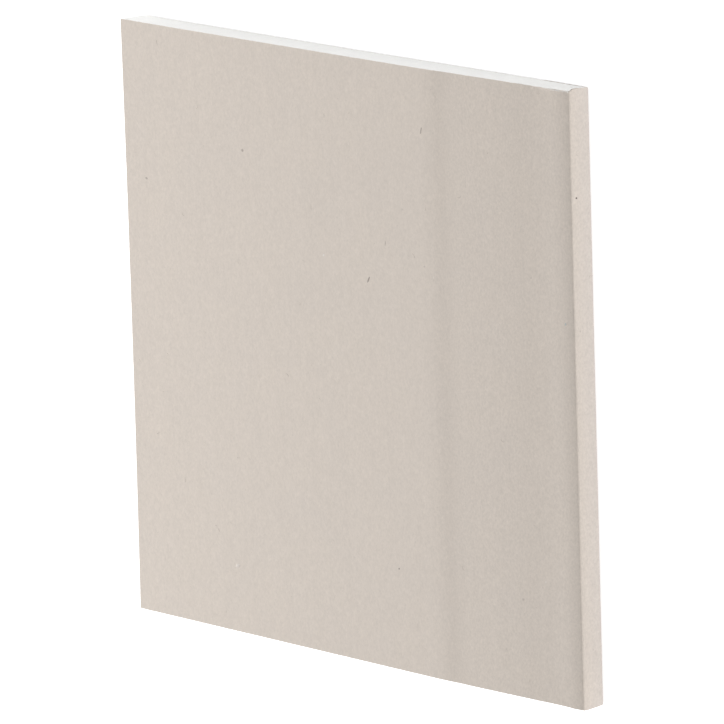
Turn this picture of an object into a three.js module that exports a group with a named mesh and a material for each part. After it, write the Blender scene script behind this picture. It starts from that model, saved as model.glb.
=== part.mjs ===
// A square-cut piece of tapered-edge gypsum wallboard, lying on its back.
//
// Three pieces are bonded into one board:
//   gypsum_core  the set plaster, bare at the cuts
//   face_paper   the ivory paper, which covers the face, wraps the factory edge and laps onto
//                the back as a flap
//   back_paper   the grey paper, which covers the back, laps over the flap and stops where the
//                back arris starts
//
// Millimetres. X runs across the board, from the side cut at -X to the factory edge at +X.
// Y runs along the machine direction, between the two cross cuts. Z is up, through the
// thickness. The origin is under the middle of the board, on the surface that it lies on.

import * as THREE from "three";

// The board
const BOARD_WIDTH = 188; // from the side cut to the factory edge
const BOARD_LENGTH = 172; // between the cross cuts, at the face
const BOARD_THICKNESS = 9.5; // in the flat field, papers included

// The papers
const FACE_PAPER = 0.4;
const BACK_PAPER = 0.35;
const FLAP_WIDTH = 18; // of the face paper on the back, in from the factory edge
const BACK_PAPER_SETBACK = 1; // from the factory edge in to the back paper's own edge

// The tapered border of the face, band by band from the flat field out to the factory edge.
// Each band has its width across the board and the height that it falls.
const KNEE_WIDTH = 7.2;
const KNEE_FALL = 0.375;
const LEDGE_WIDTH = 6;
const LEDGE_FALL = 0.08;
const UPPER_RAMP_WIDTH = 14.7;
const UPPER_RAMP_FALL = 0.32;
const LOWER_RAMP_WIDTH = 15;
const LOWER_RAMP_FALL = 0.575;
const TOE_WIDTH = 7.5;
const TOE_FALL = 0.11;
const SHOULDER_WIDTH = 4.7;
const SHOULDER_FALL = 0.44;

// The factory edge
const FACE_ARRIS_RADIUS = 0.8;
const BACK_ARRIS_RADIUS = 0.8;

// The cross cuts were snapped a little off square. At -Y the back is shorter than the face,
// and at +Y it is longer. There the wrapped paper stands proud of the gypsum, most near the face.
const SHORT_CUT_LEAN_DEGREES = 5;
const LONG_CUT_LEAN_DEGREES = 1.3;
const LIP_HEIGHT = 0.5;
const LIP_PEAK = 0.3; // where the lip is highest, as a share of the edge's height down from the face

const CURVE_STEPS = 6; // segments in each blend of the border, and in 45 degrees of an arris
const EDGE_STEPS = 10; // segments down the flat of the factory edge, which carry the lip

const sideCutX = -BOARD_WIDTH / 2;
const factoryEdgeX = BOARD_WIDTH / 2;

// The corners of the tapered border's section, where one band meets the next, from the flat
// field out to the face arris.
function borderCorners() {
  const bands = [
    [KNEE_WIDTH, KNEE_FALL],
    [LEDGE_WIDTH, LEDGE_FALL],
    [UPPER_RAMP_WIDTH, UPPER_RAMP_FALL],
    [LOWER_RAMP_WIDTH, LOWER_RAMP_FALL],
    [TOE_WIDTH, TOE_FALL],
    [SHOULDER_WIDTH, SHOULDER_FALL],
  ];
  const shoulderSlope = Math.atan2(SHOULDER_FALL, SHOULDER_WIDTH);
  const arrisReach = FACE_ARRIS_RADIUS * (1 - Math.sin(shoulderSlope));
  const borderWidth = bands.reduce((sum, [width]) => sum + width, arrisReach);
  const corner = new THREE.Vector2(factoryEdgeX - borderWidth, BOARD_THICKNESS);
  const corners = [corner.clone()];
  for (const [width, fall] of bands) {
    corner.x += width;
    corner.y -= fall;
    corners.push(corner.clone());
  }
  return { corners, shoulderSlope };
}

// The height where the border meets the factory edge's face arris.
function edgeTopZ() {
  return borderCorners().corners.at(-1).y;
}

// The way the face paper takes through the section, this deep below its outer surface: from
// the side cut over the field and the border, round the factory edge and back as the flap.
function wrapPath(depth) {
  const { corners, shoulderSlope } = borderCorners();
  const faceZ = BOARD_THICKNESS - depth;
  const flapZ = BACK_PAPER + depth;
  const edgeX = factoryEdgeX - depth;
  for (const corner of corners) corner.y -= depth;

  const path = new THREE.Path();
  path.moveTo(sideCutX, faceZ);
  path.lineTo(corners[0].x - KNEE_WIDTH / 2, faceZ);
  corners.slice(0, -1).forEach((corner, i) => {
    const middle = corner.clone().lerp(corners[i + 1], 0.5);
    path.quadraticCurveTo(corner.x, corner.y, middle.x, middle.y);
  });

  // The arris starts square to the shoulder, so that the two run into each other.
  const shoulderEnd = corners.at(-1);
  const faceRadius = FACE_ARRIS_RADIUS - depth;
  const faceStart = Math.PI / 2 - shoulderSlope;
  const faceCentreX = factoryEdgeX - FACE_ARRIS_RADIUS;
  const faceCentreZ = shoulderEnd.y + depth - FACE_ARRIS_RADIUS * Math.sin(faceStart);
  path.absarc(faceCentreX, faceCentreZ, faceRadius, faceStart, 0, true);

  const backRadius = BACK_ARRIS_RADIUS - depth;
  const backCentreX = factoryEdgeX - BACK_ARRIS_RADIUS;
  const backCentreZ = BACK_PAPER + BACK_ARRIS_RADIUS;
  for (let i = 1; i <= EDGE_STEPS; i++) {
    path.lineTo(edgeX, THREE.MathUtils.lerp(faceCentreZ, backCentreZ, i / EDGE_STEPS));
  }
  path.absarc(backCentreX, backCentreZ, backRadius, 0, -Math.PI / 2, true);
  path.lineTo(factoryEdgeX - FLAP_WIDTH, flapZ);
  return path.getPoints(CURVE_STEPS);
}

// How far a cross cut that leans by this many degrees has moved along Y, this high up.
function leanAt(degrees, z) {
  return Math.tan(THREE.MathUtils.degToRad(degrees)) * (BOARD_THICKNESS - z);
}

// Runs a section of the board from the cross cut at +Y to the one at -Y. lip gives how far a
// point of the section stands proud of the cut at +Y. The board's whole length, with the lip,
// is centred on the origin.
function betweenCrossCuts(section, lip = () => 0) {
  const geometry = new THREE.ExtrudeGeometry(new THREE.Shape(section), {
    depth: BOARD_LENGTH,
    bevelEnabled: false,
  });
  geometry.rotateX(Math.PI / 2);
  const lipPeakZ = THREE.MathUtils.lerp(edgeTopZ(), BACK_PAPER, LIP_PEAK);
  const lipReach = LIP_HEIGHT + leanAt(LONG_CUT_LEAN_DEGREES, lipPeakZ);
  const position = geometry.attributes.position;
  for (let i = 0; i < position.count; i++) {
    const x = position.getX(i);
    const y = position.getY(i);
    const z = position.getZ(i);
    const atShortCut = y < -BOARD_LENGTH / 2;
    const shift = atShortCut
      ? leanAt(SHORT_CUT_LEAN_DEGREES, z)
      : leanAt(LONG_CUT_LEAN_DEGREES, z) + lip(x, z);
    position.setY(i, y + shift + (BOARD_LENGTH - lipReach) / 2);
  }
  geometry.computeVertexNormals();
  return geometry;
}

// How far the wrapped paper stands proud of the cross cut at +Y: nothing on the face and on
// the back, and a low hump down the factory edge.
function wrapLip(x, z) {
  if (x < factoryEdgeX - FACE_ARRIS_RADIUS) return 0;
  const top = edgeTopZ();
  const down = THREE.MathUtils.clamp((top - z) / (top - BACK_PAPER), 0, 1);
  const peakPower = Math.log(0.5) / Math.log(LIP_PEAK);
  return LIP_HEIGHT * Math.sin(Math.PI * down ** peakPower);
}

function pieceOf(name, geometry, color, roughness) {
  const material = new THREE.MeshStandardMaterial({ color, roughness, metalness: 0 });
  const mesh = new THREE.Mesh(geometry, material);
  mesh.name = name;
  return mesh;
}

const paperOutside = wrapPath(0);
const paperInside = wrapPath(FACE_PAPER);

function facePaper() {
  const section = [...paperOutside, ...paperInside.toReversed()];
  return pieceOf("face_paper", betweenCrossCuts(section, wrapLip), 0xcfc5bb, 0.85);
}

// The core fills the wrap, steps down where the flap ends, and lies on the back paper.
function gypsumCore() {
  const section = [
    ...paperInside,
    new THREE.Vector2(factoryEdgeX - FLAP_WIDTH, BACK_PAPER),
    new THREE.Vector2(sideCutX, BACK_PAPER),
  ];
  return pieceOf("gypsum_core", betweenCrossCuts(section), 0xe9e9e6, 0.95);
}

function backPaper() {
  const paperEdgeX = factoryEdgeX - BACK_PAPER_SETBACK;
  const section = [
    new THREE.Vector2(sideCutX, 0),
    new THREE.Vector2(paperEdgeX, 0),
    new THREE.Vector2(paperEdgeX, BACK_PAPER),
    new THREE.Vector2(sideCutX, BACK_PAPER),
  ];
  return pieceOf("back_paper", betweenCrossCuts(section), 0x9a938a, 0.9);
}

const board = new THREE.Group();
board.add(gypsumCore(), facePaper(), backPaper());

export default board;
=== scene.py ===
"""A square-cut piece of tapered-edge gypsum wallboard, face up on a pale floor.

The three bonded pieces of the board are refined from their solids: both papers get the gentle
waves and frayed cuts of board paper, the face paper gets its flecks and loose fibres, and the
gypsum gets the pitted surface of a cut core.
"""

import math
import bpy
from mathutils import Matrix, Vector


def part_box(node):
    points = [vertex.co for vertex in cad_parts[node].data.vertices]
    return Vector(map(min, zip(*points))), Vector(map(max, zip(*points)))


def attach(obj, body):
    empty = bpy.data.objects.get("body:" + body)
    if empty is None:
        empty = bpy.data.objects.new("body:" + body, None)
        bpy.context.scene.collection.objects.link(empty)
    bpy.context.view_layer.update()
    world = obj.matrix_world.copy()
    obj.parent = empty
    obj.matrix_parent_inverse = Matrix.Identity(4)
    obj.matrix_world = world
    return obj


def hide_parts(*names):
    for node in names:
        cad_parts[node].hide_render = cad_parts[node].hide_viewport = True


bl_info = {
    "name": "Wallboard Offcut",
    "version": (1, 0, 0),
    "blender": (4, 5, 0),
    "location": "View3D > Sidebar > Wallboard",
    "description": "Builds and finishes a cut piece of tapered-edge wallboard",
    "category": "Object",
}

import bmesh
import bpy
from bpy.props import FloatProperty, FloatVectorProperty, IntProperty, PointerProperty
from mathutils import Matrix, Vector

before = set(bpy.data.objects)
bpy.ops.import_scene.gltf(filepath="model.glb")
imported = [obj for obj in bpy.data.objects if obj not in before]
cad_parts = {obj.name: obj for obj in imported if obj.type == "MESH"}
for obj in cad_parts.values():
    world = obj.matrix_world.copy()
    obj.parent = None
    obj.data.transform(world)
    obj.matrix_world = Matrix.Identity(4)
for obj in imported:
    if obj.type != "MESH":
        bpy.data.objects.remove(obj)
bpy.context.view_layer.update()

MM = 0.001
FACE_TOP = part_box("face_paper")[1].z
EDGE_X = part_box("face_paper")[1].x
SIDE_CUT_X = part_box("face_paper")[0].x
BOTTOM_CUT_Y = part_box("face_paper")[0].y
TOP_CUT_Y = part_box("gypsum_core")[1].y
BOARD_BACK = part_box("back_paper")[0].z
WRAP_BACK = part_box("face_paper")[0].z

# The wrapped factory edge of the solids: the crease at its top, the heights between which it is
# flat, the radius of its arrises, and how far in the doubled paper on the back reaches.
EDGE_TOP_Z = 7.6 * MM
EDGE_FLAT = (1.0 * MM, 7.4 * MM)
ARRIS_RADIUS = 0.8 * MM
FLAP_WIDTH = 17.9 * MM

# What is worked into the pieces: the back arris made sharper, the side cut hollowed and the
# border's foot sunk.
SHARP_RADIUS = 0.4 * MM
SIDE_HOLLOW = 0.5 * MM
SINK_DEPTH = 0.08 * MM

NEARLY = 0.001 * MM  # lengths below this count as nothing
FACE_SIDE = 6.0 * MM  # the pieces' upper side lies above this height
SQUARE_ON = 0.9  # how squarely a face has to look along an axis to count as facing that way
ACROSS_CUT = 0.6  # the same for the two cross cuts, which torn and proud paper leans away from


# ---------------------------------------------------------------- settings

COLOUR = {"subtype": "COLOR", "size": 3, "min": 0.0, "max": 1.0}
LENGTH = {"unit": "LENGTH", "min": 0.0}
POWER = {"unit": "POWER", "min": 0.0}


class FacePaperSettings(bpy.types.PropertyGroup):
    colour: FloatVectorProperty(
        name="Ivory",
        description="Main colour of the face paper",
        default=(0.627, 0.564, 0.508),
        **COLOUR,
    )
    wave: FloatProperty(
        name="Wave",
        description="Depth of the gentle waves in the face paper",
        default=0.08 * MM,
        **LENGTH,
    )
    fray: FloatProperty(
        name="Fray",
        description="How far the cut edges of the paper wander back",
        default=0.08 * MM,
        **LENGTH,
    )
    tear: FloatProperty(
        name="Tear",
        description="How far the paper is torn back beside the factory edge at the +Y cut",
        default=0.7 * MM,
        **LENGTH,
    )
    grid: FloatProperty(
        name="Grid",
        description="Spacing of the mesh that carries the waves",
        default=1.6 * MM,
        min=0.2 * MM,
        unit="LENGTH",
    )


class BackPaperSettings(bpy.types.PropertyGroup):
    colour: FloatVectorProperty(
        name="Grey",
        description="Main colour of the back paper",
        default=(0.36, 0.32, 0.28),
        **COLOUR,
    )
    recess: FloatProperty(
        name="Recess",
        description="How far the back paper stops short of the +Y cut, away from the flap",
        default=0.05 * MM,
        **LENGTH,
    )
    grid: FloatProperty(
        name="Grid",
        description="Spacing of the mesh that carries the waves",
        default=2.0 * MM,
        min=0.2 * MM,
        unit="LENGTH",
    )


class GypsumSettings(bpy.types.PropertyGroup):
    colour: FloatVectorProperty(
        name="White",
        description="Main colour of the cut gypsum",
        default=(0.876, 0.872, 0.857),
        **COLOUR,
    )
    grid: FloatProperty(
        name="Grid",
        description="Spacing of the mesh on the cut faces",
        default=0.5 * MM,
        min=0.1 * MM,
        unit="LENGTH",
    )
    cut_depth: FloatProperty(
        name="Cut depth",
        description="Depth of the unevenness that the cut leaves",
        default=0.07 * MM,
        **LENGTH,
    )
    pit_depth: FloatProperty(
        name="Pit depth",
        description="Depth of the air bubbles that the cut opens",
        default=0.3 * MM,
        **LENGTH,
    )


class FibreSettings(bpy.types.PropertyGroup):
    density: FloatProperty(
        name="Density",
        description="Loose fibres on each square metre of face paper",
        default=4000.0,
        min=0.0,
    )
    length: FloatProperty(
        name="Length",
        description="Length of a usual fibre",
        default=0.9 * MM,
        **LENGTH,
    )
    thickness: FloatProperty(
        name="Thickness",
        description="Thickness of a fibre",
        default=0.05 * MM,
        **LENGTH,
    )
    seed: IntProperty(
        name="Seed",
        description="Where the fibres fall",
        default=7,
    )


class StageSettings(bpy.types.PropertyGroup):
    azimuth: FloatProperty(
        name="Azimuth",
        description="Where the camera stands, from -Y towards +X",
        default=math.radians(105.0398),
        subtype="ANGLE",
    )
    elevation: FloatProperty(
        name="Elevation",
        description="How high the camera stands",
        default=math.radians(39.6756),
        subtype="ANGLE",
    )
    roll: FloatProperty(
        name="Roll",
        description="Turn of the camera about its own line of sight",
        default=math.radians(-101.4190),
        subtype="ANGLE",
    )
    distance: FloatProperty(
        name="Distance",
        description="From the camera to the point it aims at",
        default=2628.94 * MM,
        unit="LENGTH",
    )
    aim: FloatVectorProperty(
        name="Aim",
        description="The point on the face that the camera aims at",
        size=3,
        default=(7.194 * MM, -0.228 * MM, FACE_TOP),
        subtype="TRANSLATION",
    )
    lens: FloatProperty(
        name="Lens",
        description="Focal length in millimetres on a 36 mm sensor",
        default=469.434,
    )
    ambient: FloatProperty(
        name="Ambient",
        description="Strength of the soft light from all around",
        default=0.381,
        min=0.0,
    )
    key: FloatProperty(
        name="Key",
        description="Power of the large lamp on the side of the side cut",
        default=41.45,
        **POWER,
    )
    fill: FloatProperty(
        name="Fill",
        description="Power of the large lamp on the side of the factory edge",
        default=15.5,
        **POWER,
    )
    end: FloatProperty(
        name="End",
        description="Power of the low lamp on the side of the +Y cut",
        default=17.1,
        **POWER,
    )
    cut: FloatProperty(
        name="Cut",
        description="Power of the softer lamp that lights the core in place of the key lamp",
        default=18.4,
        **POWER,
    )


# ---------------------------------------------------------------- node helpers

SHARED = {}


def add_node(tree, kind, inputs=None, **settings):
    """Adds a node, sets its options, and sets or links its inputs."""
    made = tree.nodes.new(kind)
    for name, value in settings.items():
        setattr(made, name, value)
    for socket, value in (inputs or {}).items():
        if isinstance(value, bpy.types.NodeSocket):
            tree.links.new(value, made.inputs[socket])
        else:
            made.inputs[socket].default_value = value
    return made


def maths(tree, operation, *values):
    """The result of a Math node."""
    made = add_node(tree, "ShaderNodeMath", dict(enumerate(values)), operation=operation)
    return made.outputs[0]


def times(tree, first, second):
    """The product of two values."""
    return maths(tree, "MULTIPLY", first, second)


def scaled(tree, vector, factor):
    """A vector or a colour times a factor."""
    made = add_node(tree, "ShaderNodeVectorMath", {0: vector, "Scale": factor}, operation="SCALE")
    return made.outputs[0]


def mapped(tree, value, low, high, to_low=0.0, to_high=1.0, smooth=True):
    """A value taken from one range to another, clamped at both ends."""
    return add_node(
        tree,
        "ShaderNodeMapRange",
        {0: value, 1: low, 2: high, 3: to_low, 4: to_high},
        interpolation_type="SMOOTHSTEP" if smooth else "LINEAR",
    ).outputs[0]


def tinted(tree, factor, first, second):
    """A mix of two colours."""
    mix = add_node(tree, "ShaderNodeMix", {0: factor}, data_type="RGBA", clamp_factor=True)
    for socket, colour in ((6, first), (7, second)):
        if isinstance(colour, bpy.types.NodeSocket):
            tree.links.new(colour, mix.inputs[socket])
        else:
            mix.inputs[socket].default_value = (*colour, 1.0)
    return mix.outputs[2]


def new_tree(name, kind, inputs, outputs):
    """A node tree whose named sockets are of these kinds: (tree, its input node, its output
    node)."""
    tree = bpy.data.node_groups.new(name, kind)
    for in_out, sockets in (("INPUT", inputs), ("OUTPUT", outputs)):
        for socket, holds in sockets.items():
            tree.interface.new_socket(socket, in_out=in_out, socket_type=f"NodeSocket{holds}")
    return tree, tree.nodes.new("NodeGroupInput"), tree.nodes.new("NodeGroupOutput")


def shared(make):
    """A node tree that several materials or pieces use, made once."""
    if make not in SHARED:
        SHARED[make] = make()
    return SHARED[make]


def use_group(tree, make, inputs):
    """Places a shader node group in a material's tree."""
    return add_node(tree, "ShaderNodeGroup", inputs, node_tree=shared(make))


def noise(tree, **given):
    """Noise about 0.5, in space and one dimension more."""
    return add_node(tree, "ShaderNodeTexNoise", given, noise_dimensions="4D").outputs[0]


def vector_of(tree, x=0.0, y=0.0, z=0.0):
    """A vector made from its three parts."""
    return add_node(tree, "ShaderNodeCombineXYZ", {0: x, 1: y, 2: z}).outputs[0]


def stretched(tree, place, across, along):
    """A place on the surface, scaled so that a pattern gets this size across and along Y."""
    fine = maths(tree, "DIVIDE", 1.0, across)
    scales = {0: place, 1: vector_of(tree, fine, maths(tree, "DIVIDE", 1.0, along), fine)}
    return add_node(tree, "ShaderNodeVectorMath", scales, operation="MULTIPLY").outputs[0]


# ---------------------------------------------------------------- surface effects


def fibre_mat_group():
    """The felted fibres of board paper: stretched grain lying in three directions."""
    tree, inputs, outputs = new_tree(
        "felted_fibres",
        "ShaderNodeTree",
        {"Vector": "Vector", "Fibre Length": "Float", "Fibre Width": "Float"},
        {"Tone": "Float", "Height": "Float"},
    )
    given = inputs.outputs
    layers = []
    for degrees, offset in ((8.0, 0.0), (-34.0, 3.1), (47.0, 7.7)):
        turned = add_node(
            tree,
            "ShaderNodeVectorRotate",
            {"Vector": given["Vector"], "Angle": math.radians(degrees)},
            rotation_type="Z_AXIS",
        )
        place = stretched(tree, turned.outputs[0], given["Fibre Width"], given["Fibre Length"])
        layers.append(noise(tree, Vector=place, W=offset, Scale=1.0, Detail=3.0))
    tone = maths(tree, "ADD", maths(tree, "ADD", layers[0], layers[1]), layers[2])
    tone = maths(tree, "DIVIDE", tone, float(len(layers)))
    high = maths(tree, "MAXIMUM", maths(tree, "MAXIMUM", layers[0], layers[1]), layers[2])
    tree.links.new(tone, outputs.inputs["Tone"])
    tree.links.new(high, outputs.inputs["Height"])
    return tree


def blotch_group():
    """Soft cloudy patches, as a value about 0.5."""
    tree, inputs, outputs = new_tree(
        "cloudy_patches",
        "ShaderNodeTree",
        {"Vector": "Vector", "Size": "Float", "Stretch": "Float", "Shift": "Float"},
        {"Tone": "Float"},
    )
    given = inputs.outputs
    along = times(tree, given["Size"], given["Stretch"])
    place = stretched(tree, given["Vector"], given["Size"], along)
    tone = noise(tree, Vector=place, W=given["Shift"], Scale=1.0, Detail=4.0, Roughness=0.6)
    tree.links.new(tone, outputs.inputs["Tone"])
    return tree


def fleck_group():
    """Sparse round flecks: 1 inside a fleck, 0 elsewhere."""
    tree, inputs, outputs = new_tree(
        "sparse_flecks",
        "ShaderNodeTree",
        {"Vector": "Vector", "Spacing": "Float", "Fleck Size": "Float", "Share": "Float"},
        {"Mask": "Float"},
    )
    given = inputs.outputs
    scale = maths(tree, "DIVIDE", 1.0, given["Spacing"])
    cells = add_node(tree, "ShaderNodeTexVoronoi", {"Vector": given["Vector"], "Scale": scale})
    chance = add_node(tree, "ShaderNodeSeparateColor", {0: cells.outputs["Color"]})
    reach = maths(tree, "DIVIDE", given["Fleck Size"], given["Spacing"])
    sized = times(tree, reach, maths(tree, "ADD", chance.outputs[1], 0.5))
    inside = maths(tree, "LESS_THAN", cells.outputs["Distance"], sized)
    chosen = maths(tree, "LESS_THAN", chance.outputs[0], given["Share"])
    tree.links.new(times(tree, inside, chosen), outputs.inputs["Mask"])
    return tree


def fibres_on(tree, place, length, width):
    """The tone and the height of felted fibres of this size."""
    given = {"Vector": place, "Fibre Length": length, "Fibre Width": width}
    return use_group(tree, fibre_mat_group, given).outputs


def patches_on(tree, place, size, stretch=1.0, shift=0.0):
    """The tone of cloudy patches of this size."""
    given = {"Vector": place, "Size": size, "Stretch": stretch, "Shift": shift}
    return use_group(tree, blotch_group, given).outputs["Tone"]


def flecks_on(tree, place, spacing, size, share):
    """The mask of flecks of this size, in a share of the cells that are this far apart."""
    given = {"Vector": place, "Spacing": spacing, "Fleck Size": size, "Share": share}
    return use_group(tree, fleck_group, given).outputs["Mask"]


def new_material(name):
    """A material with a Principled BSDF: (material, its tree, places in Object coordinates)."""
    material = bpy.data.materials.new(name)
    material.use_nodes = True
    tree = material.node_tree
    tree.nodes["Principled BSDF"].inputs["Specular IOR Level"].default_value = 0.3
    return material, tree, tree.nodes.new("ShaderNodeTexCoord").outputs["Object"]


def varied(tree, tone, amount):
    """A factor about 1 that a tone about 0.5 moves up and down by this amount."""
    swing = times(tree, maths(tree, "SUBTRACT", tone, 0.5), 2.0)
    return maths(tree, "MULTIPLY_ADD", swing, amount, 1.0)


def dressed(material, base, tone, roughness, height, distance, strength=1.0):
    """Gives a material its colour, a roughness between two values that follows a tone, and
    the relief of a height."""
    tree = material.node_tree
    shader = tree.nodes["Principled BSDF"]
    tree.links.new(base, shader.inputs["Base Color"])
    rough = mapped(tree, tone, 0.3, 0.7, *roughness, smooth=False)
    tree.links.new(rough, shader.inputs["Roughness"])
    relief = {"Height": height, "Distance": distance, "Strength": strength}
    bump = add_node(tree, "ShaderNodeBump", relief)
    tree.links.new(bump.outputs[0], shader.inputs["Normal"])
    return material


def shaded(colour, *factors):
    """A plain colour with its three parts scaled, by one factor or by one each."""
    return [part * factor for part, factor in zip(colour, factors * 3)]


def face_paper_material(colour):
    """Ivory face paper: felted fibres, cloudy patches, faint streaks along the machine
    direction and small flecks, with painted shade along the crease of the factory edge and
    painted light that makes the edge lighter and cooler towards the back."""
    material, tree, place = new_material("ivory_paper")
    fibres = fibres_on(tree, place, 0.9 * MM, 0.4 * MM)
    fine = patches_on(tree, place, 0.7 * MM, stretch=1.2)
    mottle = patches_on(tree, place, 2.2 * MM, shift=6.0)
    broad = patches_on(tree, place, 14.0 * MM, shift=4.0)
    streaks = patches_on(tree, place, 2.6 * MM, stretch=60.0, shift=9.0)
    across, _, up = add_node(tree, "ShaderNodeSeparateXYZ", {0: place}).outputs
    pressed = mapped(tree, across, 25.0 * MM, 60.0 * MM, 0.14, 0.19)
    tone = varied(tree, fibres["Tone"], 0.13)
    for source, amount in ((fine, pressed), (mottle, 0.055), (broad, 0.025), (streaks, 0.02)):
        tone = times(tree, tone, varied(tree, source, amount))

    # Painted shade: the paper is darkened a little along the crease of the factory edge, where the
    # shoulder turns away from the lamps.
    crease_shade_across = mapped(tree, across, EDGE_X - 3.4 * MM, EDGE_X - 1.2 * MM)
    crease_shade_up = mapped(tree, up, EDGE_TOP_Z - 2.4 * MM, EDGE_TOP_Z - 0.6 * MM)
    crease_shade = times(tree, crease_shade_across, crease_shade_up)
    tone = times(tree, tone, maths(tree, "MULTIPLY_ADD", crease_shade, -0.022, 1.0))

    base = tinted(tree, broad, colour, shaded(colour, 1, 0.99, 0.97))
    # Painted light: the factory edge is tinted lighter and cooler towards the back, standing in for
    # the light that falls there.
    on_edge = mapped(tree, across, EDGE_X - 1.0 * MM, EDGE_X - 0.2 * MM)
    low_down = mapped(tree, up, 0.5 * MM, EDGE_TOP_Z, 1.0, 0.0, smooth=False)
    painted_edge_light = shaded(colour, 1.01, 1.025, 1.055)
    base = tinted(tree, times(tree, on_edge, low_down), base, painted_edge_light)
    base = scaled(tree, base, tone)
    dark = flecks_on(tree, place, 2.3 * MM, 0.13 * MM, 0.16)
    base = tinted(tree, times(tree, dark, 0.26), base, (0.30, 0.25, 0.21))
    return dressed(material, base, fibres["Tone"], (0.78, 0.92), fibres["Height"], 0.03 * MM, 0.6)


def paper_cut_material(colour):
    """The cut edge of board paper: torn fibre ends, dusted with gypsum."""
    material, tree, place = new_material("paper_cut")
    plies = patches_on(tree, place, 0.4 * MM)
    dust = patches_on(tree, place, 1.1 * MM, shift=3.0)
    dusted = mapped(tree, dust, 0.35, 0.65, 0.2, 0.8)
    base = tinted(tree, dusted, colour, (0.84, 0.84, 0.82))
    base = scaled(tree, base, varied(tree, plies, 0.3))
    return dressed(material, base, plies, (0.86, 0.97), plies, 0.05 * MM)


def fibre_material():
    """Loose fibres, from pale to dark."""
    material, tree, place = new_material("loose_fibre")
    tones = patches_on(tree, place, 3.0 * MM, shift=1.5)
    dark = mapped(tree, tones, 0.4, 0.6, 1.0, 0.0)
    base = tinted(tree, dark, (0.72, 0.67, 0.61), (0.33, 0.28, 0.24))
    return dressed(material, base, tones, (0.82, 0.94), tones, 0.02 * MM)


def fleck_material(name, colour):
    """A fleck pressed into the paper, mottled like it."""
    material, tree, place = new_material(name)
    grain = patches_on(tree, place, 0.15 * MM)
    base = scaled(tree, colour, varied(tree, grain, 0.35))
    return dressed(material, base, grain, (0.8, 0.95), grain, 0.02 * MM)


def back_paper_material(colour):
    """Grey back paper: coarser recycled fibres, cloudy patches and many flecks."""
    material, tree, place = new_material("grey_paper")
    fibres = fibres_on(tree, place, 2.2 * MM, 0.35 * MM)
    broad = patches_on(tree, place, 9.0 * MM, shift=2.0)
    tone = times(tree, varied(tree, fibres["Tone"], 0.28), varied(tree, broad, 0.08))
    base = scaled(tree, colour, tone)
    for shade, spacing, share in (((0.14, 0.12, 0.11), 2.0, 0.25), ((0.62, 0.58, 0.52), 2.9, 0.3)):
        flecks = flecks_on(tree, place, spacing * MM, 0.16 * MM, share)
        base = tinted(tree, times(tree, flecks, 0.6), base, shade)
    return dressed(material, base, fibres["Tone"], (0.82, 0.96), fibres["Height"], 0.05 * MM, 0.8)


def gypsum_material(colour):
    """Cut gypsum: chalky white, with greyer patches and opened bubbles that painted shade darkens.
    """
    material, tree, place = new_material("gypsum")
    grain = patches_on(tree, place, 0.5 * MM)
    broad = patches_on(tree, place, 7.0 * MM, shift=5.0)
    tone = times(tree, varied(tree, grain, 0.05), varied(tree, broad, 0.04))
    base = scaled(tree, colour, tone)
    # Painted shade: the opened bubbles are tinted grey for the shade inside them, and the bump also
    # sinks them.
    bubbles = flecks_on(tree, place, 0.9 * MM, 0.14 * MM, 0.35)
    base = tinted(tree, times(tree, bubbles, 0.25), base, (0.6, 0.6, 0.58))
    height = maths(tree, "SUBTRACT", grain, bubbles)
    return dressed(material, base, grain, (0.9, 0.98), height, 0.08 * MM, 0.8)


# ---------------------------------------------------------------- meshes

# The five tables below are read by straight lines between pairs in rising order. Each pair
# starts with a distance in mm.

# How far the +Y cut wanders off its line at the face and at the back, in mm, by X.
FACE_WANDER = ((-94.0, 0.19), (-75.0, 0.08), (0.0, 0.04), (45.0, 0.12), (66.0, 0.12), (80.0, 0.0))
BACK_WANDER = ((-94.0, -0.1), (-75.0, -0.12), (0.0, -0.13), (45.0, 0.02), (80.0, 0.04), (94.0, 0.0))

# How far the foot of the border sinks, as a share of the most, by the distance from the
# factory edge.
BORDER_SINK = (
    (1.5, 0.0),
    (3.0, 0.15),
    (6.5, 0.85),
    (8.5, 1.0),
    (11.0, 0.95),
    (22.0, 0.05),
    (25.0, 0.0),
)

# How far back the paper is torn at the +Y cut, as a share of the deepest tear, by the distance
# from the crease: negative down the factory edge, positive over the border.
TEAR = ((-1.5, 0.0), (-0.8, 0.3), (-0.3, 1.0), (3.5, 1.0), (5.4, 0.8), (9.0, 0.17), (14.0, 0.0))

# How far the wrapped paper stands proud at the -Y cut, in mm, by the same distance.
SHORT_CUT_LIP = (
    (-7.0, 0.3),
    (-6.0, 0.4),
    (-3.0, 0.35),
    (-1.5, 0.3),
    (0.0, 0.2),
    (3.0, 0.15),
    (5.5, 0.04),
    (9.0, 0.0),
)


def stepped(value, steps):
    """A value read off one of the tables."""
    for (start, low), (end, high) in zip(steps, steps[1:]):
        if value <= end:
            share = max(0.0, (value - start) / (end - start))
            return low + (high - low) * share
    return steps[-1][1]


def new_object(name, data):
    """An object that stands in the scene."""
    made = bpy.data.objects.new(name, data)
    bpy.context.scene.collection.objects.link(made)
    return made


def node_copy(node):
    """A bmesh of a CAD node, with its loose triangles joined and its flat faces whole. Its
    cross cuts become whole too, where they bend by no more than a degree or so."""
    bm = bmesh.new()
    bm.from_mesh(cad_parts[node].data)
    bmesh.ops.remove_doubles(bm, verts=bm.verts, dist=NEARLY)
    bmesh.ops.dissolve_limit(bm, angle_limit=math.radians(0.05), verts=bm.verts, edges=bm.edges)
    ends = [edge for edge in bm.edges if all(is_cross_cut(face) for face in edge.link_faces)]
    bmesh.ops.dissolve_limit(bm, angle_limit=math.radians(1.5), verts=[], edges=ends)
    return bm


def is_cut(face):
    """Whether a face lies on one of the three cuts."""
    return is_cross_cut(face) or is_side_cut(face)


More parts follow.
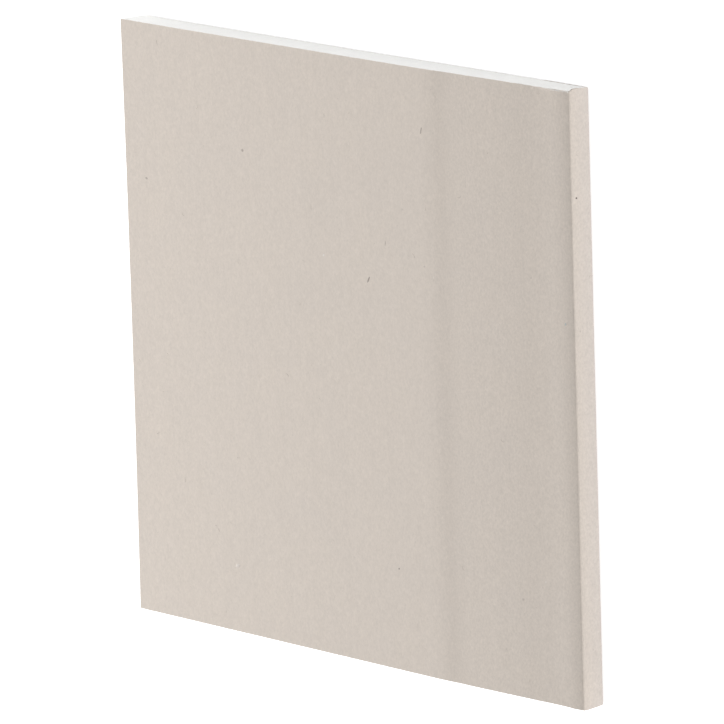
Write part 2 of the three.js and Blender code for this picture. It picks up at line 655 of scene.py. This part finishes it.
def is_cross_cut(face):
    """Whether a face lies on the cut at +Y or at -Y."""
    return abs(face.normal.y) > ACROSS_CUT


def is_side_cut(face):
    """Whether a face lies on the cut at -X."""
    return face.normal.x < -SQUARE_ON and face.calc_center_median().x < SIDE_CUT_X + MM


def slice_faces(bm, chosen, axis, spacing):
    """Slices the chosen faces by planes across an axis, this far apart."""

    def span(face):
        levels = [vert.co[axis] for vert in face.verts]
        return min(levels), max(levels)

    left = [(face, *span(face)) for face in bm.faces if chosen(face)]
    low = min(start for face, start, end in left)
    high = max(end for face, start, end in left)
    count = max(1, round((high - low) / spacing))
    normal = Vector([float(i == axis) for i in range(3)])
    for i in range(1, count):
        level = low + (high - low) * i / count
        crossed = [face for face, start, end in left if start < level < end]
        beyond = [item for item in left if item[1] >= level]
        edges = {edge for face in crossed for edge in face.edges}
        verts = {vert for face in crossed for vert in face.verts}
        cut = bmesh.ops.bisect_plane(
            bm,
            geom=[*crossed, *edges, *verts],
            dist=0.5 * NEARLY,
            plane_co=normal * level,
            plane_no=normal,
        )
        made = [item for item in cut["geom"] if isinstance(item, bmesh.types.BMFace)]
        parts = [(face, *span(face)) for face in made]
        left = beyond + [part for part in parts if part[2] > level + NEARLY]


def mark_cut_inward(bm, chosen):
    """Stores, on each point of the chosen faces, the square way in from the cuts there."""
    layer = bm.verts.layers.float_vector.new("cut_inward")
    for vert in bm.verts:
        for face in vert.link_faces:
            if chosen(face):
                main = 1 if is_cross_cut(face) else 0
                inward = Vector(vert[layer])
                inward[main] = -math.copysign(1.0, face.normal[main])
                vert[layer] = inward


def mark_face_inward(bm, chosen):
    """Stores, on each point of the chosen faces, the way in along their mean normal."""
    layer = bm.verts.layers.float_vector.new("face_inward")
    picked = {face for face in bm.faces if chosen(face)}
    for vert in bm.verts:
        normals = [face.normal for face in vert.link_faces if face in picked]
        if normals:
            vert[layer] = -sum(normals, Vector()).normalized()


def mark_open(bm, margin):
    """Marks the faces of the field, the border and the factory edge that lie at least a margin
    away from the cuts and the arrises."""
    mark = bm.faces.layers.int.new("is_open")
    for face in bm.faces:
        x, y, z = face.calc_center_median()
        on_face = face.normal.z > SQUARE_ON and z > FACE_SIDE
        inside = on_face and SIDE_CUT_X + margin < x < EDGE_X - margin
        on_edge = face.normal.x > SQUARE_ON and EDGE_FLAT[0] + margin < z < EDGE_FLAT[1] - margin
        between = BOTTOM_CUT_Y + margin < y < TOP_CUT_Y - margin
        face[mark] = int(between and (inside or on_edge))


def shift_cut(bm, level, amount, reach=6.0 * MM):
    """Moves the points of the cross cut at this level along Y, each by its own amount. The
    points behind them give way, less and less up to this reach, so that no face folds over."""
    for vert in bm.verts:
        nearness = 1.0 - abs(vert.co.y - level) / reach
        if nearness > 0.0:
            vert.co.y += amount(vert) * nearness


def wander(vert):
    """How far a point of the +Y cut lies off the line that the cut keeps."""
    face = stepped(vert.co.x / MM, FACE_WANDER)
    back = stepped(vert.co.x / MM, BACK_WANDER)
    return (back + (face - back) * vert.co.z / FACE_TOP) * MM


def unrolled(place):
    """How far a place on the face paper lies from the crease, in mm, as if the wrap were flat."""
    beyond = EDGE_X - ARRIS_RADIUS - place.x
    down = EDGE_TOP_Z - place.z
    near_top = down < 3.0 * MM
    return (beyond if beyond > 0.0 and near_top else -down) / MM


def short_cut_lip(vert):
    """How far the wrapped paper moves at the -Y cut, never past the end of the board."""
    return -min(stepped(unrolled(vert.co), SHORT_CUT_LIP) * MM, vert.co.y - BOTTOM_CUT_Y)


def sharpen_back_arris(bm):
    """Fills out the back arris of the wrap, which the solid rounds a little too much."""
    gain = ARRIS_RADIUS - SHARP_RADIUS
    half = 0.5 * ARRIS_RADIUS
    for vert in bm.verts:
        across = vert.co.x - (EDGE_X - ARRIS_RADIUS)
        down = WRAP_BACK + ARRIS_RADIUS - vert.co.z
        reach = math.hypot(across, down)
        if across >= -NEARLY and down >= -NEARLY and reach > 0.0:
            share = min(1.0, max(0.0, (reach - half) / half))
            vert.co.x += gain * (1.0 - across / reach) * share
            vert.co.z -= gain * (1.0 - down / reach) * share


def hollow_side(bm):
    """Hollows the side cut a little along its length, as a knife that follows no rule does."""
    middle = 0.5 * (BOTTOM_CUT_Y + TOP_CUT_Y)
    half = 0.5 * (TOP_CUT_Y - BOTTOM_CUT_Y)
    for vert in bm.verts:
        if vert.co.x < SIDE_CUT_X + 0.01 * MM:
            along = (vert.co.y - middle) / half
            vert.co.x += SIDE_HOLLOW * max(0.0, 1.0 - along * along)


def sink_border(bm):
    """Sinks the foot of the tapered border a little, where the board was pressed hardest."""
    for vert in bm.verts:
        if vert.co.z > FACE_SIDE:
            vert.co.z -= SINK_DEPTH * stepped((EDGE_X - vert.co.x) / MM, BORDER_SINK)


def relieved(bm, name, material, cut_material, values):
    """Makes an object from a bmesh, with its relief worked into a plain mesh."""
    bm.normal_update()
    mark = bm.faces.layers.int.new("is_cut")
    for face in bm.faces:
        face[mark] = int(is_cut(face))
        face.smooth = True
    for edge in bm.edges:
        edge.smooth = edge.calc_face_angle(0.0) < math.radians(40)
    source = bpy.data.meshes.new(name)
    bm.to_mesh(source)
    bm.free()
    piece = new_object(name, source)
    values = {**values, "Material": material, "Cut Material": cut_material}
    bake(piece, shared(relief_tree), values)
    return piece


def bake(piece, tree, values):
    """Runs a geometry node tree on an object and keeps the result as its plain mesh."""
    modifier = piece.modifiers.new(tree.name, "NODES")
    modifier.node_group = tree
    for item in tree.interface.items_tree:
        if item.item_type == "SOCKET" and item.in_out == "INPUT" and item.name in values:
            modifier[item.identifier] = values[item.name]
    piece.update_tag()
    graph = bpy.context.evaluated_depsgraph_get()
    baked = bpy.data.meshes.new_from_object(piece.evaluated_get(graph), depsgraph=graph)
    piece.modifiers.remove(modifier)
    baked.name = piece.name
    piece.data = baked


# ---------------------------------------------------------------- geometry nodes


def stored(tree, name, kind):
    """The values of a named attribute."""
    given = {"Name": name}
    made = add_node(tree, "GeometryNodeInputNamedAttribute", given, data_type=kind)
    return made.outputs["Attribute"]


def noise_of_size(tree, size, seed, detail):
    """Noise about 0.5 whose lumps have this size."""
    return noise(tree, W=seed, Scale=maths(tree, "DIVIDE", 1.0, size), Detail=detail)


def moved_in(tree, geometry, attribute, amount):
    """Moves points along their stored way inward."""
    inward = stored(tree, attribute, "FLOAT_VECTOR")
    given = {"Geometry": geometry, "Offset": scaled(tree, inward, amount)}
    return add_node(tree, "GeometryNodeSetPosition", given).outputs[0]


def coated(tree, geometry, material, **selection):
    """Gives a material to a geometry, or to the selected faces of it."""
    given = {"Geometry": geometry, "Material": material, **selection}
    return add_node(tree, "GeometryNodeSetMaterial", given).outputs[0]


def relief_tree():
    """Uneven, pitted cuts and gently waved faces. Everything moves into the piece."""
    tree, inputs, outputs = new_tree(
        "relief",
        "GeometryNodeTree",
        {
            "Geometry": "Geometry",
            "Cut Depth": "Float",
            "Cut Size": "Float",
            "Pit Depth": "Float",
            "Pit Spacing": "Float",
            "Pit Share": "Float",
            "Wave Depth": "Float",
            "Wave Size": "Float",
            "Seed": "Float",
            "Material": "Material",
            "Cut Material": "Material",
        },
        {"Geometry": "Geometry"},
    )
    given = inputs.outputs
    rough = noise_of_size(tree, given["Cut Size"], given["Seed"], 3.0)
    rough = mapped(tree, rough, 0.25, 0.75, smooth=False)
    scale = maths(tree, "DIVIDE", 1.0, given["Pit Spacing"])
    cells = add_node(tree, "ShaderNodeTexVoronoi", {"Scale": scale})
    chance = add_node(tree, "FunctionNodeSeparateColor", {0: cells.outputs["Color"]})
    reach = mapped(tree, chance.outputs[1], 0.0, 1.0, 0.12, 0.34, smooth=False)
    pit = mapped(tree, maths(tree, "DIVIDE", cells.outputs["Distance"], reach), 0.4, 1.0, 1.0, 0.0)
    chosen = maths(tree, "LESS_THAN", chance.outputs[0], given["Pit Share"])
    pit = times(tree, pit, chosen)
    depth = times(tree, rough, given["Cut Depth"])
    depth = maths(tree, "MULTIPLY_ADD", pit, given["Pit Depth"], depth)
    wave = noise_of_size(tree, given["Wave Size"], given["Seed"], 2.0)
    wave = mapped(tree, wave, 0.2, 0.8, 0.5, 1.0)
    wave = times(tree, wave, given["Wave Depth"])
    shaped = moved_in(tree, given["Geometry"], "cut_inward", depth)
    shaped = moved_in(tree, shaped, "face_inward", wave)
    whole = add_node(tree, "GeometryNodeRealizeInstances", {"Geometry": shaped}).outputs[0]
    faced = coated(tree, whole, given["Material"])
    cuts = stored(tree, "is_cut", "INT")
    tree.links.new(coated(tree, faced, given["Cut Material"], Selection=cuts), outputs.inputs[0])
    return tree


def fibre_tree():
    """Short bowed fibres that lie at random on the marked faces."""
    tree, inputs, outputs = new_tree(
        "loose_fibres",
        "GeometryNodeTree",
        {
            "Geometry": "Geometry",
            "Density": "Float",
            "Length": "Float",
            "Thickness": "Float",
            "Seed": "Int",
            "Material": "Material",
        },
        {"Geometry": "Geometry"},
    )
    given = inputs.outputs
    half = times(tree, given["Length"], 0.5)
    bow = {
        "Resolution": 6,
        "Start": vector_of(tree, x=times(tree, half, -1.0)),
        "Middle": vector_of(tree, y=times(tree, half, 0.7)),
        "End": vector_of(tree, x=half),
    }
    curve = add_node(tree, "GeometryNodeCurveQuadraticBezier", bow)
    ring = add_node(
        tree,
        "GeometryNodeCurvePrimitiveCircle",
        {"Resolution": 5, "Radius": times(tree, given["Thickness"], 0.5)},
    )
    strand = add_node(
        tree,
        "GeometryNodeCurveToMesh",
        {"Curve": curve.outputs[0], "Profile Curve": ring.outputs[0], "Fill Caps": True},
    )
    points = add_node(
        tree,
        "GeometryNodeDistributePointsOnFaces",
        {
            "Mesh": given["Geometry"],
            "Selection": stored(tree, "is_open", "INT"),
            "Density": given["Density"],
            "Seed": given["Seed"],
        },
    )
    turn = random_value(tree, 0.0, 2.0 * math.pi, given["Seed"])
    stretch = random_value(tree, 0.4, 1.8, maths(tree, "ADD", given["Seed"], 1.0))
    spin = add_node(tree, "FunctionNodeAxisAngleToRotation", {"Axis": (0, 0, 1), "Angle": turn})
    facing = add_node(
        tree,
        "FunctionNodeRotateRotation",
        {"Rotation": points.outputs["Rotation"], "Rotate By": spin.outputs[0]},
        rotation_space="LOCAL",
    )
    placed = add_node(
        tree,
        "GeometryNodeInstanceOnPoints",
        {
            "Points": points.outputs["Points"],
            "Instance": strand.outputs[0],
            "Rotation": facing.outputs[0],
            "Scale": vector_of(tree, stretch, stretch, 1.0),
        },
    )
    whole = add_node(tree, "GeometryNodeRealizeInstances", {"Geometry": placed.outputs[0]})
    tree.links.new(coated(tree, whole.outputs[0], given["Material"]), outputs.inputs[0])
    return tree


def random_value(tree, low, high, seed):
    """A number drawn for each point."""
    given = {2: low, 3: high, "Seed": seed}
    return add_node(tree, "FunctionNodeRandomValue", given).outputs[1]


# ---------------------------------------------------------------- flecks and loose fibres

FLECK_SHADES = {
    "black_fleck": (0.12, 0.1, 0.09),
    "dark_fleck": (0.32, 0.28, 0.25),
    "dim_fleck": (0.43, 0.38, 0.34),
    "faint_fleck": (0.51, 0.455, 0.41),
    "blue_fleck": (0.47, 0.5, 0.49),
    "pale_fleck": (0.7, 0.655, 0.61),
    "patch_fleck": (0.655, 0.6, 0.55),
}

# The flecks and long fibres that stand out on the face: the shade of each, the x and y where it
# lies, its length and width, all in mm, and how many degrees it is turned from X towards Y.
FACE_FLECKS = (
    ("dark_fleck", 34.8, 68.4, 2.1, 0.42, 76.0),
    ("dark_fleck", 10.9, 23.6, 2.1, 0.58, 60.0),
    ("dim_fleck", -41.9, 53.9, 1.15, 0.85, 0.0),
    ("dim_fleck", -84.7, 40.8, 1.15, 0.7, -10.0),
    ("black_fleck", 20.4, -57.3, 0.46, 0.46, 0.0),
    ("faint_fleck", 70.9, -58.4, 0.95, 0.75, 90.0),
    ("faint_fleck", 18.4, 34.8, 1.6, 0.45, 85.0),
    ("faint_fleck", 34.6, 30.3, 0.65, 0.5, 0.0),
    ("faint_fleck", 26.0, 45.3, 0.6, 0.4, 60.0),
    ("faint_fleck", 77.3, 32.4, 0.6, 0.4, 30.0),
    ("blue_fleck", 90.4, 21.2, 0.8, 0.7, 90.0),
    ("pale_fleck", -7.9, 28.2, 0.9, 0.6, 40.0),
    ("patch_fleck", -49.6, -67.0, 1.9, 1.1, 20.0),
    ("pale_fleck", 80.1, -52.2, 0.7, 0.4, 80.0),
)

# The same on the factory edge, by y and z, turned from Y towards Z.
EDGE_FLECKS = (
    ("black_fleck", 56.2, 5.8, 0.5, 0.6, 0.0),
    ("faint_fleck", 19.4, 5.6, 0.6, 0.4, 0.0),
)


def placed_flecks(piece):
    """An object with the flecks and long fibres that stand out on the face and the edge."""
    far = 100.0 * MM
    thin = 0.02 * MM
    bm = bmesh.new()
    shades = list(FLECK_SHADES)
    on_edge = Matrix(((0, 0, 1), (1, 0, 0), (0, 1, 0))).to_4x4()
    for facing, flecks in ((Matrix.Identity(4), FACE_FLECKS), (on_edge, EDGE_FLECKS)):
        outward = facing.to_3x3() @ Vector((0, 0, 1))
        for shade, across, along, length, width, turn in flecks:
            above = facing @ Vector((across * MM, along * MM, far))
            spot = piece.ray_cast(above, -outward)[1]
            size = Matrix.Diagonal((0.5 * length * MM, 0.5 * width * MM, thin, 1.0))
            turned = Matrix.Rotation(math.radians(turn), 4, "Z")
            made = bmesh.ops.create_icosphere(
                bm,
                subdivisions=2,
                radius=1.0,
                matrix=Matrix.Translation(spot) @ facing @ turned @ size,
            )
            for face in {face for vert in made["verts"] for face in vert.link_faces}:
                face.material_index = shades.index(shade)
                face.smooth = True
    mesh = bpy.data.meshes.new("placed_flecks")
    bm.to_mesh(mesh)
    bm.free()
    for name, shade in FLECK_SHADES.items():
        mesh.materials.append(fleck_material(name, shade))
    return new_object("placed_flecks", mesh)


def loose_fibres(piece, given):
    """An object with the loose fibres that lie on a piece's marked faces."""
    made = new_object("loose_fibres", piece.data.copy())
    values = {
        "Density": given.density,
        "Length": given.length,
        "Thickness": given.thickness,
        "Seed": given.seed,
        "Material": fibre_material(),
    }
    bake(made, fibre_tree(), values)
    return made


def join(piece, others):
    """Makes other objects part of a piece."""
    with bpy.context.temp_override(
        active_object=piece,
        object=piece,
        selected_objects=[piece, *others],
        selected_editable_objects=[piece, *others],
    ):
        bpy.ops.object.join()


# ---------------------------------------------------------------- operators


class WALLBOARD_OT_gypsum_core(bpy.types.Operator):
    """Builds the gypsum core with its three pitted cuts"""

    bl_idname = "wallboard.gypsum_core"
    bl_label = "Gypsum Core"

    def execute(self, context):
        given = context.scene.wallboard_gypsum
        bm = node_copy("gypsum_core")
        slice_faces(bm, is_cross_cut, 0, given.grid)
        slice_faces(bm, is_cross_cut, 2, given.grid)
        slice_faces(bm, is_side_cut, 1, 2.0 * given.grid)
        slice_faces(bm, is_side_cut, 2, 2.0 * given.grid)
        mark_cut_inward(bm, is_cut)
        hollow_side(bm)
        sink_border(bm)
        shift_cut(bm, TOP_CUT_Y, wander)
        material = gypsum_material(given.colour)
        # Under the paper, the gypsum is dusted with pale paper fibres.
        under_paper = paper_cut_material(shaded(context.scene.wallboard_face.colour, 1.35))
        piece = relieved(
            bm,
            "gypsum_core_cut",
            under_paper,
            material,
            {
                "Cut Depth": given.cut_depth,
                "Cut Size": 1.4 * MM,
                "Pit Depth": given.pit_depth,
                "Pit Spacing": 1.9 * MM,
                "Pit Share": 0.4,
                "Seed": 3.0,
            },
        )
        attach(piece, "root")
        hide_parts("gypsum_core")
        return {"FINISHED"}


class WALLBOARD_OT_face_paper(bpy.types.Operator):
    """Builds the face paper with its gentle waves and its ragged, partly torn cuts"""

    bl_idname = "wallboard.face_paper"
    bl_label = "Face Paper"

    def execute(self, context):
        given = context.scene.wallboard_face

        def is_outside(face):
            # The outer side faces away from the heart of the board. A face that leans along Y
            # belongs to the lip of a cut.
            middle = face.calc_center_median()
            heart = Vector((min(middle.x, EDGE_X - 4.0 * MM), middle.y, 4.0 * MM))
            leans = abs(face.normal.y) > 0.3
            return not (leans or is_cut(face)) and face.normal.dot(middle - heart) > 0.0

        def is_edge_end(face):
            return is_cross_cut(face) and face.calc_center_median().x > EDGE_X - 0.5 * MM

        bm = node_copy("face_paper")
        bm.normal_update()
        slice_faces(bm, is_outside, 1, given.grid)
        slice_faces(bm, lambda face: face.normal.z > SQUARE_ON, 0, given.grid)
        slice_faces(bm, is_cross_cut, 0, 0.25 * given.grid)
        slice_faces(bm, is_edge_end, 2, 0.2 * given.grid)
        slice_faces(bm, is_side_cut, 1, 0.25 * given.grid)
        bm.normal_update()
        mark_cut_inward(bm, is_cut)
        mark_face_inward(bm, is_outside)
        mark_open(bm, 1.6 * MM)
        outer = bm.verts.layers.float_vector["face_inward"]

        def torn_cut(vert):
            # The inner plies of the paper are torn back half as far as the outer ones.
            depth = given.tear * stepped(unrolled(vert.co), TEAR)
            return wander(vert) - depth * (1.0 if vert[outer].length > 0.5 else 0.5)

        sharpen_back_arris(bm)
        sink_border(bm)
        shift_cut(bm, TOP_CUT_Y, torn_cut)
        shift_cut(bm, BOTTOM_CUT_Y, short_cut_lip)
        hollow_side(bm)
        piece = relieved(
            bm,
            "face_paper_wrap",
            face_paper_material(given.colour),
            paper_cut_material(shaded(given.colour, 1.15)),
            {
                "Cut Depth": given.fray,
                "Cut Size": 1.2 * MM,
                "Wave Depth": given.wave,
                "Wave Size": 24.0 * MM,
                "Seed": 11.0,
            },
        )
        fibres = loose_fibres(piece, context.scene.wallboard_fibres)
        join(piece, [fibres, placed_flecks(piece)])
        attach(piece, "root")
        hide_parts("face_paper")
        return {"FINISHED"}


class WALLBOARD_OT_back_paper(bpy.types.Operator):
    """Builds the back paper with its frayed cuts and its lapped edge"""

    bl_idname = "wallboard.back_paper"
    bl_label = "Back Paper"

    def execute(self, context):
        given = context.scene.wallboard_back
        bm = node_copy("back_paper")

        def is_back(face):
            return face.normal.z < -SQUARE_ON

        def recessed_cut(vert):
            # Where the back paper lies on the flap, it stops less far from the cut.
            return wander(vert) - given.recess * (1.0 if vert.co.x < EDGE_X - FLAP_WIDTH else 0.4)

        slice_faces(bm, is_cross_cut, 0, 0.25 * given.grid)
        slice_faces(bm, lambda face: abs(face.normal.x) > SQUARE_ON, 1, 0.25 * given.grid)
        slice_faces(bm, is_back, 0, given.grid)
        slice_faces(bm, is_back, 1, given.grid)
        mark_cut_inward(bm, lambda face: is_cut(face) or face.normal.x > SQUARE_ON)
        mark_face_inward(bm, is_back)
        shift_cut(bm, TOP_CUT_Y, recessed_cut)
        hollow_side(bm)
        piece = relieved(
            bm,
            "back_paper_sheet",
            back_paper_material(given.colour),
            paper_cut_material(shaded(given.colour, 1.25)),
            {
                "Cut Depth": 0.06 * MM,
                "Cut Size": 1.1 * MM,
                "Wave Depth": 0.04 * MM,
                "Wave Size": 18.0 * MM,
                "Seed": 23.0,
            },
        )
        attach(piece, "root")
        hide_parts("back_paper")
        return {"FINISHED"}


class WALLBOARD_OT_stage(bpy.types.Operator):
    """Lays the floor and sets the lamps, the world and the camera"""

    bl_idname = "wallboard.stage"
    bl_label = "Stage"

    def execute(self, context):
        stage = context.scene.wallboard_stage
        lay_floor()
        light_world(stage.ambient)
        key = place_lamp("key_lamp", stage.key)
        place_lamp("fill_lamp", stage.fill)
        place_lamp("end_lamp", stage.end)
        soften_on_core(key, place_lamp("cut_lamp", stage.cut))
        place_camera(stage)
        context.scene.view_settings.view_transform = "Standard"
        return {"FINISHED"}


# ---------------------------------------------------------------- stage

FLOOR_HALF = 3.0  # half the floor's width, in metres
FLOOR_GAP = 0.1 * MM  # between the board and the floor
FLOOR_GLOW = 0.7

# Where each lamp stands, seen from the board, and how wide it is, all in metres.
LAMPS = {
    "key_lamp": ((-1.45, -0.26, 0.4), 0.65),
    "fill_lamp": ((1.6, 0.0, 0.22), 0.4),
    "end_lamp": ((-0.4, 2.0, 0.12), 0.24),
    "cut_lamp": ((-0.8, -0.8, 1.32), 0.5),
}


def seen_directly(tree):
    """1 for rays that show the background itself: from the camera, in gloss and through glass."""
    rays = tree.nodes.new("ShaderNodeLightPath")
    seen = maths(tree, "MAXIMUM", rays.outputs["Is Camera Ray"], rays.outputs["Is Glossy Ray"])
    return maths(tree, "MAXIMUM", seen, rays.outputs["Is Transmission Ray"])


def lay_floor():
    """A pale floor just under the board, which glows to white and keeps the board's shadow."""
    corners = ((-1, -1), (1, -1), (1, 1), (-1, 1))
    places = [(x * FLOOR_HALF, y * FLOOR_HALF, BOARD_BACK - FLOOR_GAP) for x, y in corners]
    mesh = bpy.data.meshes.new("floor")
    mesh.from_pydata(places, [], [(0, 1, 2, 3)])
    floor = new_object("floor", mesh)
    material = bpy.data.materials.new("floor")
    material.use_nodes = True
    tree = material.node_tree
    shader = tree.nodes["Principled BSDF"]
    shader.inputs["Base Color"].default_value = (0.8, 0.8, 0.8, 1.0)
    shader.inputs["Roughness"].default_value = 1.0
    shader.inputs["Specular IOR Level"].default_value = 0.0
    shader.inputs["Emission Color"].default_value = (1.0, 1.0, 1.0, 1.0)
    glow = times(tree, seen_directly(tree), FLOOR_GLOW)
    tree.links.new(glow, shader.inputs["Emission Strength"])
    mesh.materials.append(material)


def light_world(strength):
    """Soft light from all around, behind a white backdrop."""
    world = bpy.data.worlds.new("studio")
    bpy.context.scene.world = world
    world.use_nodes = True
    tree = world.node_tree
    tree.nodes.clear()
    soft = add_node(tree, "ShaderNodeBackground", {"Color": (1, 1, 1, 1), "Strength": strength})
    white = add_node(tree, "ShaderNodeBackground", {"Color": (1, 1, 1, 1), "Strength": 1.0})
    mix = add_node(
        tree,
        "ShaderNodeMixShader",
        {0: seen_directly(tree), 1: soft.outputs[0], 2: white.outputs[0]},
    )
    add_node(tree, "ShaderNodeOutputWorld", {0: mix.outputs[0]})


def place_lamp(name, power):
    """A large soft lamp aimed at the board."""
    location, size = LAMPS[name]
    lamp = bpy.data.lights.new(name, "AREA")
    lamp.shape = "DISK"
    lamp.size = size
    lamp.energy = power
    made = new_object(name, lamp)
    made.location = location
    made.rotation_euler = (-Vector(location)).to_track_quat("-Z", "Y").to_euler()
    made.visible_camera = False
    return made


def soften_on_core(lamp, softer):
    """Lights the white core by a softer lamp of its own, so that the cuts that face the key
    lamp keep their tone. The papers keep the key lamp."""
    core = bpy.data.objects["gypsum_core_cut"]
    for light, state in ((lamp, "EXCLUDE"), (softer, "INCLUDE")):
        receivers = bpy.data.collections.new(f"{light.name}_receivers")
        receivers.objects.link(core)
        receivers.collection_objects[0].light_linking.link_state = state
        light.light_linking.receiver_collection = receivers


def place_camera(stage):
    """The camera, aimed at a point of the face and rolled about its line of sight."""
    level = math.cos(stage.elevation)
    back = Vector(
        (
            level * math.sin(stage.azimuth),
            -level * math.cos(stage.azimuth),
            math.sin(stage.elevation),
        )
    )
    upright = (Vector((0, 0, 1)) - back * back.z).normalized()
    right = upright.cross(back)
    turn = Matrix.Rotation(stage.roll, 3, back)
    up = turn @ upright
    right = turn @ right
    camera = bpy.data.cameras.new("camera")
    camera.lens = stage.lens
    camera.sensor_width = 36.0
    camera.clip_end = 20.0
    made = new_object("camera", camera)
    place = Vector(stage.aim) + back * stage.distance
    made.matrix_world = Matrix.Translation(place) @ Matrix((right, up, back)).transposed().to_4x4()
    bpy.context.scene.camera = made


# ---------------------------------------------------------------- add-on


class WALLBOARD_PT_panel(bpy.types.Panel):
    """Sizes and colours of the wallboard piece"""

    bl_idname = "WALLBOARD_PT_panel"
    bl_label = "Wallboard"
    bl_space_type = "VIEW_3D"
    bl_region_type = "UI"
    bl_category = "Wallboard"

    def draw(self, context):
        scene = context.scene
        for title, group in (
            ("Face paper", scene.wallboard_face),
            ("Back paper", scene.wallboard_back),
            ("Gypsum", scene.wallboard_gypsum),
            ("Fibres", scene.wallboard_fibres),
            ("Stage", scene.wallboard_stage),
        ):
            box = self.layout.box()
            box.label(text=title)
            for name in group.bl_rna.properties.keys():
                if name not in ("rna_type", "name"):
                    box.prop(group, name)
        for operator in OPERATORS:
            self.layout.operator(operator.bl_idname)


SETTINGS = {
    "wallboard_face": FacePaperSettings,
    "wallboard_back": BackPaperSettings,
    "wallboard_gypsum": GypsumSettings,
    "wallboard_fibres": FibreSettings,
    "wallboard_stage": StageSettings,
}
OPERATORS = (
    WALLBOARD_OT_gypsum_core,
    WALLBOARD_OT_face_paper,
    WALLBOARD_OT_back_paper,
    WALLBOARD_OT_stage,
)
CLASSES = (*SETTINGS.values(), *OPERATORS, WALLBOARD_PT_panel)


def register():
    for item in CLASSES:
        bpy.utils.register_class(item)
    for name, group in SETTINGS.items():
        setattr(bpy.types.Scene, name, PointerProperty(type=group))


def unregister():
    for name in SETTINGS:
        delattr(bpy.types.Scene, name)
    for item in reversed(CLASSES):
        bpy.utils.unregister_class(item)


def main():
    register()
    bpy.ops.wallboard.gypsum_core()
    bpy.ops.wallboard.face_paper()
    bpy.ops.wallboard.back_paper()
    bpy.ops.wallboard.stage()
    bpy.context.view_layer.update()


if __name__ == "__main__":
    main()
